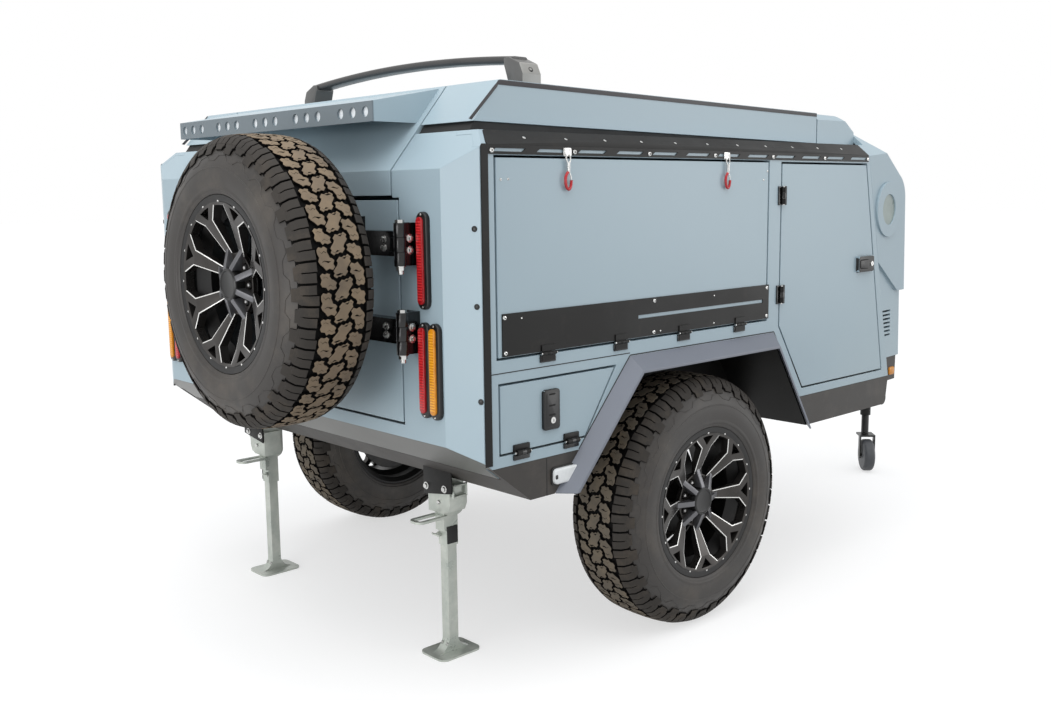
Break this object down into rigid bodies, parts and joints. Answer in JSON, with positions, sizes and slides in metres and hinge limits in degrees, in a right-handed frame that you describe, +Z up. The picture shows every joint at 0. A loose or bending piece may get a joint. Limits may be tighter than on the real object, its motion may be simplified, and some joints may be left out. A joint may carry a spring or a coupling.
{
  "type": "off-road teardrop camper trailer, single axle",
  "caption": "Grey off-road teardrop camper trailer with a spare wheel on its rear door, flared arches and an A-frame drawbar.",
  "frame": {"origin": "on the ground under the middle of the overall length and width", "axes": "+X forward towards the coupling, +Y to the trailer's left side, +Z up"},
  "size_m": [3.922, 1.828, 1.7447],
  "materials": {
    "body_paint": "satin",
    "black_paint": "satin",
    "flare_grey": "matte",
    "skirt_grey": "matte",
    "frame_black": "satin",
    "zinc": "satin",
    "tyre": "matte",
    "rim_black": "satin",
    "black_rubber": "matte",
    "red_lens": "gloss",
    "amber_lens": "gloss",
    "clear_lens": "gloss",
    "black_plastic": "matte",
    "white_plastic": "gloss"
  },
  "bodies": {
    "trailer": {"chassis_frame": "frame_black", "coupling": "zinc", "fender_flares": "flare_grey", "floor_panel": "skirt_grey", "jockey_mast": "zinc", "lid_seal": "black_rubber", "lower_skirts": "skirt_grey", "nose_shell": "body_paint", "porthole_frames": "body_paint", "porthole_lenses": "clear_lens", "rear_frame": "body_paint", "rear_hinge_brackets": "black_paint", "roof_fairing": "body_paint", "side_hinges": "black_paint", "side_markers": "white_plastic", "side_panels": "body_paint", "side_trim": "black_paint", "stabiliser_legs": "zinc", "tail_lamp_housings": "black_plastic", "tail_lamps_amber": "amber_lens", "tail_lamps_red": "red_lens", "torsion_axle": "frame_black", "wheel_boxes": "black_paint"},
    "wheel_left": {"rim_left": "rim_black", "tyre_left": "tyre"},
    "wheel_right": {"rim_right": "rim_black", "tyre_right": "tyre"},
    "side_hatch_left": {"side_hatch_left": "body_paint", "hatch_plate_left": "black_paint"},
    "side_hatch_right": {"side_hatch_right": "body_paint", "hatch_plate_right": "black_paint"},
    "small_door_left": {"small_door_left": "body_paint"},
    "small_door_right": {"small_door_right": "body_paint"},
    "front_door_left": {"front_door_left": "body_paint"},
    "front_door_right": {"front_door_right": "body_paint"},
    "rear_door": {"rear_door": "body_paint", "spare_carrier": "black_paint", "spare_rim": "rim_black", "spare_tyre": "tyre"},
    "roof_lid": {"roof_lid": "body_paint", "roof_bar": "black_paint"},
    "rear_hatch": {"rear_hatch": "body_paint", "visor": "body_paint"},
    "jockey_fork": {"jockey_fork": "zinc"},
    "jockey_wheel": {"jockey_wheel": "black_rubber"}
  },
  "joints": [
    {"name": "wheel_left_spin", "type": "hinge", "parent": "trailer", "child": "wheel_left", "pos_m": [-0.689, 0.785, 0.388], "axis": [0, 1, 0], "continuous": true},
    {"name": "side_hatch_left_hinge", "type": "hinge", "parent": "trailer", "child": "side_hatch_left", "pos_m": [-0.9285, 0.876, 0.917], "axis": [-1, 0, 0], "range_deg": [0, 90]},
    {"name": "small_door_left_hinge", "type": "hinge", "parent": "trailer", "child": "small_door_left", "pos_m": [-1.3415, 0.876, 0.6695], "axis": [-1, 0, 0], "range_deg": [0, 90]},
    {"name": "front_door_left_hinge", "type": "hinge", "parent": "trailer", "child": "front_door_left", "pos_m": [-0.2775, 0.876, 1.1535], "axis": [0, 0, 1], "range_deg": [0, 90]},
    {"name": "wheel_right_spin", "type": "hinge", "parent": "trailer", "child": "wheel_right", "pos_m": [-0.689, -0.785, 0.388], "axis": [0, 1, 0], "continuous": true},
    {"name": "side_hatch_right_hinge", "type": "hinge", "parent": "trailer", "child": "side_hatch_right", "pos_m": [-0.9285, -0.876, 0.917], "axis": [1, 0, 0], "range_deg": [0, 90]},
    {"name": "small_door_right_hinge", "type": "hinge", "parent": "trailer", "child": "small_door_right", "pos_m": [-1.3415, -0.876, 0.6695], "axis": [1, 0, 0], "range_deg": [0, 90]},
    {"name": "front_door_right_hinge", "type": "hinge", "parent": "trailer", "child": "front_door_right", "pos_m": [-0.2775, -0.876, 1.1535], "axis": [0, 0, -1], "range_deg": [0, 90]},
    {"name": "rear_door_hinge", "type": "hinge", "parent": "trailer", "child": "rear_door", "pos_m": [-1.654, -0.67, 1.095], "axis": [0, 0, 1], "range_deg": [0, 90]},
    {"name": "roof_lid_hinge", "type": "hinge", "parent": "trailer", "child": "roof_lid", "pos_m": [0.059, 0, 1.598], "axis": [0, 1, 0], "range_deg": [0, 25]},
    {"name": "rear_hatch_hinge", "type": "hinge", "parent": "roof_lid", "child": "rear_hatch", "pos_m": [-1.186, 0, 1.61921], "axis": [0, 1, 0], "range_deg": [0, 75]},
    {"name": "jockey_swivel", "type": "hinge", "parent": "trailer", "child": "jockey_fork", "pos_m": [1.391, -0.25, 0.18], "axis": [0, 0, 1], "continuous": true},
    {"name": "jockey_wheel_spin", "type": "hinge", "parent": "jockey_fork", "child": "jockey_wheel", "pos_m": [1.35863, -0.28126, 0.075], "axis": [0.6947, -0.7193, 0], "continuous": true}
  ]
}
